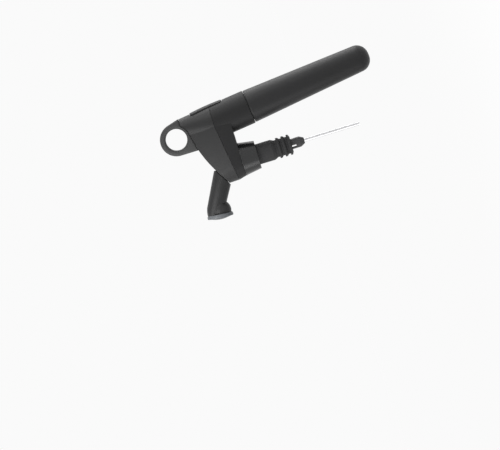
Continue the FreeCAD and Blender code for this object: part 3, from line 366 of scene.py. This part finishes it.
@dataclass(frozen=True)
class MouldedShell(EdgeWearAndHighlightFinish):
    """Matt plastic with the fine pitted grain of a spark-eroded mould.

    Args:
        specks: Spread of the lighter specks over the pits.
        speck_shade: Factor of the colour in a speck.
        rub_polish: How much smoother the edges are.
    """

    shades: tuple[float, float] = (0.88, 1.12)
    clouds: Clouds = Clouds(9 * MM, 3.0)
    grain: Clouds = Clouds(0.35 * MM, 3.0, 0.6)
    depth: float = 0.02 * MM
    ior: float = 1.46
    specks: float = 0.5
    speck_shade: float = 1.6
    rub_polish: float = 0.1

    def shade(self, graph: Graph) -> None:
        """Pits with lighter specks, slow clouds, and edges painted lighter, partly as wear and partly as a painted
        highlight.

        Args:
            graph: The material's graph.
        """
        soft = graph.soft_normal(self.edge)
        # Edge mask: it drives the edges' painted highlight and wear, and their smoother gloss.
        worn_and_highlit_edges = graph.edges(soft)
        cloud = graph.noise(self.clouds)
        pits = graph.noise(self.grain)
        speckled = graph.mixed(pits.centred(self.specks), self.toned(graph, cloud),
                               shaded(self.colour, self.speck_shade))
        graph.finish(
            # Base colour: edges painted lighter, partly wear and partly a painted highlight.
            Base_Color=self.worn_and_highlit(graph, worn_and_highlit_edges, speckled),
            Roughness=self.roughness + cloud.centred(self.uneven) - worn_and_highlit_edges * self.rub_polish,
            Normal=graph.bump(pits, self.depth, soft), IOR=self.ior, Specular_IOR_Level=self.gloss)


@dataclass(frozen=True)
class SoftCoat(EdgeWearAndHighlightFinish):
    """Soft-touch lacquer over metal: almost no grain, cloudy gloss, and edges painted lighter, partly as wear and
    partly as a painted highlight.
    """

    roughness: float = 0.4
    shades: tuple[float, float] = (0.92, 1.08)
    clouds: Clouds = Clouds(16 * MM, 4.0)
    uneven: float = 0.14
    grain: Clouds = Clouds(0.22 * MM)
    depth: float = 0.008 * MM
    ior: float = 1.45
    edge_wear_and_highlight: float = 0.3
    edge_wear_and_highlight_shade: float = 2.0

    def shade(self, graph: Graph) -> None:
        """Slow clouds, edges painted lighter as wear and as a painted highlight, and a grain that hardly shows.

        Args:
            graph: The material's graph.
        """
        soft = graph.soft_normal(self.edge)
        # Edge mask: it drives the edges' painted highlight and wear.
        worn_and_highlit_edges = graph.edges(soft)
        cloud = graph.noise(self.clouds)
        skin = graph.noise(self.grain)
        graph.finish(
            # Base colour: edges painted lighter, partly wear and partly a painted highlight.
            Base_Color=self.worn_and_highlit(graph, worn_and_highlit_edges, self.toned(graph, cloud)),
            Roughness=self.roughness + cloud.centred(self.uneven),
            Normal=graph.bump(skin, self.depth, soft), IOR=self.ior, Specular_IOR_Level=self.gloss)


@dataclass(frozen=True)
class GlossMoulding(Finish):
    """Smooth black plastic with a slight orange peel and fine handling marks."""

    roughness: float = 0.26
    shades: tuple[float, float] = (0.85, 1.25)
    clouds: Clouds = Clouds(5 * MM, 5.0, 0.7)
    uneven: float = 0.2
    grain: Clouds = Clouds(1.4 * MM, 1.0)
    edge: float = 0.3 * MM

    def shade(self, graph: Graph) -> None:
        """Handling marks over an orange peel.

        Args:
            graph: The material's graph.
        """
        soft = graph.soft_normal(self.edge)
        peel = graph.noise(self.grain)
        marks = graph.noise(self.clouds)
        graph.finish(
            Base_Color=self.toned(graph, marks), Roughness=self.roughness + marks.centred(self.uneven),
            Normal=graph.bump(peel, self.depth, soft), IOR=self.ior)


@dataclass(frozen=True)
class Rubber(Finish):
    """Matt rubber or silicone with a dusty bloom."""

    roughness: float = 0.72
    shades: tuple[float, float] = (1.0, 1.5)
    clouds: Clouds = Clouds(3 * MM, 4.0, 0.65)
    uneven: float = 0.2
    depth: float = 0.012 * MM

    def shade(self, graph: Graph) -> None:
        """A bloom over a fine skin.

        Args:
            graph: The material's graph.
        """
        bloom = graph.noise(self.clouds)
        skin = graph.noise(self.grain)
        graph.finish(
            Base_Color=self.toned(graph, bloom), Roughness=self.roughness + bloom.centred(self.uneven),
            Normal=graph.bump(skin, self.depth), IOR=self.ior)


class Lay(Enum):
    """Which way the tool marks of a metal run, as the stretch of their coordinates."""

    ROUND = (0.03, 0.03, 1.0)
    ALONG = (1.0, 1.0, 0.02)


@dataclass(frozen=True)
class MachinedMetal(Finish):
    """Metal with the marks of turning or drawing.

    Args:
        lay: Which way the marks run.
        marked: Spread of the roughness over the marks.
    """

    roughness: float = 0.3
    shades: tuple[float, float] = (0.9, 1.06)
    clouds: Clouds = Clouds(6 * MM, 3.0)
    uneven: float = 0.08
    grain: Clouds = Clouds(0.12 * MM, 3.0, 0.6)
    depth: float = 0.006 * MM
    edge: float = 0.15 * MM
    lay: Lay = Lay.ROUND
    marked: float = 0.2

    def shade(self, graph: Graph) -> None:
        """Tool marks under a faint stain.

        Args:
            graph: The material's graph.
        """
        place = graph.add("ShaderNodeMapping", {}, {"Vector": graph.place(), "Scale": self.lay.value})
        marks = graph.noise(self.grain, place.outputs["Vector"])
        stain = graph.noise(self.clouds)
        graph.finish(
            Base_Color=self.toned(graph, stain), Metallic=1.0,
            Roughness=self.roughness + marks.centred(self.marked) + stain.centred(self.uneven),
            Normal=graph.bump(marks, self.depth, graph.soft_normal(self.edge)))


FINISHES = {finish.name: finish for finish in (
    SoftCoat("handle_coat", (0.04, 0.04, 0.041)),
    MouldedShell("base_shell", (0.026, 0.026, 0.0266)),
    MouldedShell("head_shell", (0.04, 0.04, 0.0405), roughness=0.44),
    # The ring's colour is twice as light as the head's: painted light, standing in for the light that its rounded
    # edge catches.
    MouldedShell("ring_shell", (0.085, 0.085, 0.0855), edge=2.2 * MM),
    MouldedShell("trigger_shell", (0.036, 0.036, 0.0365), grain=Clouds(0.28 * MM, 3.0, 0.6)),
    MouldedShell("aerator_shell", (0.03, 0.03, 0.0305), roughness=0.38, edge=0.6 * MM),
    MouldedShell("rim_plastic", (0.15, 0.158, 0.168), roughness=0.42, edge=0.25 * MM),
    GlossMoulding("stopper_shell", (0.016, 0.0165, 0.017)),
    Rubber("stopper_rubber", (0.02, 0.02, 0.021)),
    Rubber("seal_rubber", (0.05, 0.05, 0.052), roughness=0.6),
    MouldedShell("inner_plastic", (0.1, 0.1, 0.102), roughness=0.4, edge=0.2 * MM),
    MachinedMetal("thread_metal", (0.06, 0.06, 0.064), roughness=0.42),
    MachinedMetal("capsule_steel", (0.62, 0.6, 0.56), lay=Lay.ALONG),
    MachinedMetal("probe_steel", (0.66, 0.66, 0.67), roughness=0.2,
                  grain=Clouds(0.08 * MM, 3.0, 0.6), lay=Lay.ALONG),
    MachinedMetal("valve_brass", (0.76, 0.57, 0.27), roughness=0.25),
)}


@dataclass
class Wardrobe:
    """Every finish as a material, made once, and the ways to put it on.

    Args:
        made: The materials by slot.
    """

    made: dict[str, bpy.types.Material] = field(default_factory=dict)

    def material(self, slot: str) -> bpy.types.Material:
        """The material of a slot, made when it is first asked for.

        Args:
            slot: The slot.

        Returns:
            Its material.
        """
        if slot not in self.made:
            self.made[slot] = FINISHES[slot].material()
        return self.made[slot]

    def dress_frame(self) -> None:
        """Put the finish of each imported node's slot on that node."""
        for row in frame["record"]["subparts"]:
            node = frame["nodes"][row["node"]]
            for place in node.material_slots:
                place.material = self.material(row["material_slot"])
            LOG.info("dressed %s in %s", row["node"], row["material_slot"])

    def dress(self, piece: bpy.types.Object, slot: str, body: str) -> None:
        """Put a finish on a new piece and let it ride on a body.

        Args:
            piece: The new piece.
            slot: The slot that it takes its finish from.
            body: The body that carries it.
        """
        piece.data.materials.clear()
        piece.data.materials.append(self.material(slot))
        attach(piece, body)
        LOG.info("added %s to %s", piece.name, body)


# ---------------------------------------------------------------- pieces
def joint(name: str) -> Mapping[str, Any]:
    """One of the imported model's joints by its name."""
    return next(item for item in frame["joints"] if item["name"] == name)


def mesh_piece(name: str, mesh: bmesh.types.BMesh) -> bpy.types.Object:
    """Turn mesh code's result into a smooth-shaded object.

    Args:
        name: The piece's name.
        mesh: Its mesh, which is freed.

    Returns:
        The object, linked to the scene.
    """
    bmesh.ops.recalc_face_normals(mesh, faces=mesh.faces)
    for face in mesh.faces:
        face.smooth = True
    data = bpy.data.meshes.new(name)
    mesh.to_mesh(data)
    mesh.free()
    piece = bpy.data.objects.new(name, data)
    bpy.context.scene.collection.objects.link(piece)
    return piece


def wound(rings: Sequence[Sequence[tuple[float, float, float]]]) -> bmesh.types.BMesh:
    """Join the sections along a winding into a closed skin.

    Args:
        rings: The sections in order, each a loop of points.

    Returns:
        The skin, with a face over each end.
    """
    mesh = bmesh.new()
    loops = [[mesh.verts.new(point) for point in ring] for ring in rings]
    sides = len(loops[0])
    for before, after in zip(loops, loops[1:]):
        for first in range(sides):
            second = (first + 1) % sides
            mesh.faces.new((before[first], before[second], after[second], after[first]))
    mesh.faces.new(loops[0])
    mesh.faces.new(tuple(reversed(loops[-1])))
    return mesh


@dataclass
class ScrewThreads:
    """The rolled threads that hold the handle on the housing.

    Args:
        wardrobe: The finishes.
        pitch: Rise of one turn.
        collar_radius: Outside of the collar that the outer thread stands on.
        bore_radius: Bore of the sleeve that the inner thread stands in.
        height: Height of a thread.
        root: Width of a thread at its foot.
        crest: Width of a thread at its top.
        sunk: How deep a thread's foot lies in the wall that carries it.
        steps: Number of sections in one turn.
        run_out: Turns over which a thread's ends fade out.
        low: Lower end of the outer thread, from the seam along the handle's axis.
        outer_high: Upper end of the outer thread.
        inner_high: Upper end of the inner thread.
    """

    wardrobe: Wardrobe
    pitch: float = 3.0 * MM
    collar_radius: float = 12.4 * MM
    bore_radius: float = 12.7 * MM
    height: float = 0.2 * MM
    root: float = 1.5 * MM
    crest: float = 0.6 * MM
    sunk: float = 0.05 * MM
    steps: int = 48
    run_out: float = 0.3
    low: float = -15.0 * MM
    outer_high: float = -1.2 * MM
    inner_high: float = -2.0 * MM

    def seat(self) -> Matrix:
        """Where the threads stand.

        Returns:
            Frame of the handle: its origin at the seam, its Z axis towards the housing.
        """
        turn = joint("handle_turn")
        along = -Vector(turn["axis"]).normalized()
        across = Vector((0.0, 1.0, 0.0))
        turned = Matrix((across.cross(along), across, along)).transposed().to_4x4()
        return Matrix.Translation(Vector(turn["pos_m"])) @ turned

    def helix(self, radius: float, rise: float, low: float, high: float) -> bmesh.types.BMesh:
        """Sweep a thread's section along its helix.

        Args:
            radius: Radius of the thread's foot.
            rise: Its height, negative for a thread that stands inwards.
            low: Its lower end along the axis.
            high: Its upper end along the axis.

        Returns:
            The closed thread.
        """
        turns = (high - low) / self.pitch
        count = int(turns * self.steps)
        foot = math.copysign(self.sunk, -rise)
        rings = []
        for index in range(count + 1):
            done = index / count * turns
            fade = min(1.0, done / self.run_out, (turns - done) / self.run_out)
            angle = 2 * math.pi * done
            middle = low + self.pitch * done
            section = ((foot, -self.root / 2), (rise * fade, -self.crest / 2),
                       (rise * fade, self.crest / 2), (foot, self.root / 2))
            rings.append([((radius + out) * math.cos(angle), (radius + out) * math.sin(angle),
                           middle + along) for out, along in section])
        mesh = wound(rings)
        mesh.transform(self.seat())
        return mesh

    def build(self) -> None:
        """Make both threads, the inner one half a turn above the outer one."""
        outer = self.helix(self.collar_radius, self.height, self.low, self.outer_high)
        self.wardrobe.dress(mesh_piece("collar_thread", outer), "thread_metal", "housing")
        inner = self.helix(self.bore_radius, -self.height, self.low + self.pitch / 2, self.inner_high)
        self.wardrobe.dress(mesh_piece("sleeve_thread", inner), "thread_metal", "handle")


@dataclass
class ReturnSpring:
    """The valve's return spring, wound at its rest length; here it does not close up as the valve is pushed in.

    Args:
        wardrobe: The finishes.
        mean_radius: Radius of the wire's centre line.
        wire_radius: Radius of the wire.
        turns: Number of turns.
        steps: Number of sections in one turn.
        sides: Number of sides of the wire.
    """

    wardrobe: Wardrobe
    mean_radius: float = 2.2 * MM
    wire_radius: float = 0.35 * MM
    turns: int = 5
    steps: int = 40
    sides: int = 12

    def seat(self, way: Vector) -> tuple[Matrix, float]:
        """Where the spring lies round the valve's stem.

        Args:
            way: The way that the valve is pushed.

        Returns:
            Its frame, with the origin at its fixed end and the Z axis to its free end, and its length.
        """
        level = Vector((0.0, 1.0, 0.0))
        side = way.cross(level)
        along = [way.dot(point.co) for point in frame["nodes"]["valve_spring"].data.vertices]
        across = [side.dot(point.co) for point in frame["nodes"]["valve_stem"].data.vertices]
        foot = way * max(along) + side * (min(across) + max(across)) / 2
        turned = Matrix((side, level, -way)).transposed().to_4x4()
        return Matrix.Translation(foot) @ turned, max(along) - min(along)

    def coil(self, length: float) -> bmesh.types.BMesh:
        """Wind the wire round the Z axis.

        Args:
            length: Length of the spring over its ends.

        Returns:
            The closed wire.
        """
        count = self.turns * self.steps
        spots = [2 * math.pi * side / self.sides for side in range(self.sides)]
        rings = []
        for index in range(count + 1):
            angle = 2 * math.pi * index / self.steps
            middle = self.wire_radius + (length - 2 * self.wire_radius) * index / count
            ring = []
            for spot in spots:
                radius = self.mean_radius + self.wire_radius * math.cos(spot)
                ring.append((radius * math.cos(angle), radius * math.sin(angle),
                             middle + self.wire_radius * math.sin(spot)))
            rings.append(ring)
        return wound(rings)

    def build(self) -> None:
        """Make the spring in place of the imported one."""
        push = joint("valve_push")
        way = Vector(push["axis"]).normalized()
        seat, length = self.seat(way)
        mesh = self.coil(length)
        mesh.transform(seat)
        spring = mesh_piece("return_spring", mesh)
        self.wardrobe.dress(spring, "probe_steel", "housing")
        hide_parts("valve_spring")
        1.0 - push["range_m"][1] / length
        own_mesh(spring)


# ---------------------------------------------------------------- studio
@dataclass(frozen=True)
class Lamp:
    """A soft square lamp that faces the object.

    Args:
        name: The lamp's name.
        way: Where it stands, as shares of the camera's right, up and back.
        reach: Its distance from the object.
        size: Its width.
        power: Its power in watts.
    """

    name: str
    way: tuple[float, float, float]
    reach: float
    size: float
    power: float


LAMPS = (
    Lamp("overhead", (-0.35, 1.0, -0.25), 1.2, 1.3, 14.0),
    Lamp("upper_left", (-0.75, 0.9, 0.75), 0.8, 0.4, 1.6),
    Lamp("lower_left", (-0.7, -0.75, 0.7), 0.14, 0.08, 0.085),
    Lamp("lower_right", (0.3, -1.0, 0.5), 0.6, 0.3, 0.75),
)


@dataclass
class Studio:
    """Camera, lamps, floor and white surroundings.

    Args:
        pixel: Width of the object's plane that one pixel shows.
        width: Pixels across the frame.
        centre: Point of the object's plane in the middle of the frame.
        aim: Point that the lamps face.
        axis_dip: How far the bottle's axis dips below the horizontal, to the left, in degrees.
        raised: How far the camera looks down on the object, in degrees.
        lens: Focal length, in millimetres.
        sensor: Sensor width, in millimetres.
        sight: How far the camera sees.
        white: Level of the white surroundings.
        ambient: Share of that level that lights the object.
        floor_drop: Height of the bottle under its mouth, where the floor lies.
        floor_half: Half the floor's width.
        floor_grey: Colour of the floor where light falls on it.
        floor_glow: Strength that makes the floor look as white as its surroundings.
        floor_share: Share of that glow in what is seen of the floor, the rest being lit.
    """

    pixel: float = 0.905 * MM
    width: int = 500
    centre: tuple[float, float, float] = (-59.1 * MM, 0.0, 25.3 * MM)
    aim: tuple[float, float, float] = (10 * MM, 0.0, 0.0)
    axis_dip: float = 17.0
    raised: float = 3.6
    lens: float = 200.0
    sensor: float = 36.0
    sight: float = 50.0
    white: float = 0.956
    ambient: float = 0.18
    floor_drop: float = 0.3
    floor_half: float = 20.0
    floor_grey: Colour = (0.8, 0.8, 0.8)
    floor_glow: float = 1.15
    floor_share: float = 0.85

    def axes(self) -> tuple[Vector, Vector, Vector]:
        """Directions of the camera's frame.

        Returns:
            Right, up and back.
        """
        dip, raised = math.radians(self.axis_dip), math.radians(self.raised)
        right = Vector((-math.sin(dip), 0.0, -math.cos(dip)))
        level_up = Vector((math.cos(dip), 0.0, -math.sin(dip)))
        level_back = Vector((0.0, -1.0, 0.0))
        back = math.cos(raised) * level_back + math.sin(raised) * level_up
        up = math.cos(raised) * level_up - math.sin(raised) * level_back
        return right, up, back

    def camera(self) -> None:
        """Make the camera and give it to the scene."""
        right, up, back = self.axes()
        lens = bpy.data.cameras.new("camera")
        lens.lens = self.lens
        lens.sensor_width = self.sensor
        lens.clip_end = self.sight
        distance = self.pixel * self.width * self.lens / self.sensor
        made = bpy.data.objects.new("camera", lens)
        made.matrix_world = (Matrix.Translation(Vector(self.centre) + back * distance)
                             @ Matrix((right, up, back)).transposed().to_4x4())
        bpy.context.scene.collection.objects.link(made)
        bpy.context.scene.camera = made

    def light(self, lamp: Lamp) -> None:
        """Set up a lamp.

        Args:
            lamp: The lamp.
        """
        right, up, back = self.axes()
        stand = (right * lamp.way[0] + up * lamp.way[1] + back * lamp.way[2]).normalized()
        light = bpy.data.lights.new(lamp.name, "AREA")
        light.energy = lamp.power
        light.size = lamp.size
        made = bpy.data.objects.new(lamp.name, light)
        made.matrix_world = (Matrix.Translation(Vector(self.aim) + stand * lamp.reach)
                             @ stand.to_track_quat("Z", "Y").to_matrix().to_4x4())
        bpy.context.scene.collection.objects.link(made)

    @staticmethod
    def mirrored(graph: Graph) -> Signal:
        """Tell what the eye sees from what only lights the object.

        Args:
            graph: The graph that it goes into.

        Returns:
            1 for what is seen directly, in a reflection or through something clear, else 0.
        """
        ways = graph.add("ShaderNodeLightPath").outputs
        seen = graph.signal(ways["Is Camera Ray"]) + graph.signal(ways["Is Glossy Ray"])
        return (seen + graph.signal(ways["Is Transmission Ray"])).limited()

    def surroundings(self) -> None:
        """White to the eye and in reflections, soft grey light to everything else."""
        world = bpy.data.worlds.new("surroundings")
        bpy.context.scene.world = world
        graph = Graph.of(world)
        strength = self.ambient + self.mirrored(graph) * (1.0 - self.ambient)
        sky = graph.add("ShaderNodeBackground", {}, {"Color": (self.white,) * 3, "Strength": strength})
        graph.add("ShaderNodeOutputWorld", {}, {"Surface": sky.outputs["Background"]})

    def floor(self) -> None:
        """A pale floor at the bottle's foot, clear from below."""
        mesh = bmesh.new()
        bmesh.ops.create_grid(mesh, x_segments=1, y_segments=1, size=self.floor_half)
        piece = mesh_piece("floor", mesh)
        piece.location.z = -self.floor_drop
        material = bpy.data.materials.new("floor")
        graph = Graph.of(material)
        matt = graph.add("ShaderNodeBsdfDiffuse", {}, {"Color": self.floor_grey})
        glow = graph.add("ShaderNodeEmission", {}, {"Color": (self.white,) * 3,
                                                    "Strength": self.floor_glow})
        top = graph.add("ShaderNodeMixShader", {}, {
            "Fac": self.mirrored(graph) * self.floor_share,
            "Shader": matt.outputs["BSDF"], "Shader_001": glow.outputs["Emission"]})
        under = graph.add("ShaderNodeNewGeometry").outputs["Backfacing"]
        clear = graph.add("ShaderNodeBsdfTransparent")
        both = graph.add("ShaderNodeMixShader", {}, {
            "Fac": under, "Shader": top.outputs["Shader"], "Shader_001": clear.outputs["BSDF"]})
        graph.add("ShaderNodeOutputMaterial", {}, {"Surface": both.outputs["Shader"]})
        piece.data.materials.append(material)

    def build(self) -> None:
        """Set up the whole studio."""
        bpy.context.scene.view_settings.view_transform = "Standard"
        self.camera()
        self.surroundings()
        self.floor()
        for lamp in LAMPS:
            self.light(lamp)
        LOG.info("studio is set")


def main() -> None:
    """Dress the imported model, add the pieces and set up the studio."""
    logging.basicConfig(level=logging.INFO, format="%(message)s")
    Studio().build()
    wardrobe = Wardrobe()
    wardrobe.dress_frame()
    ScrewThreads(wardrobe).build()
    ReturnSpring(wardrobe).build()


if __name__ == "__main__":
    main()
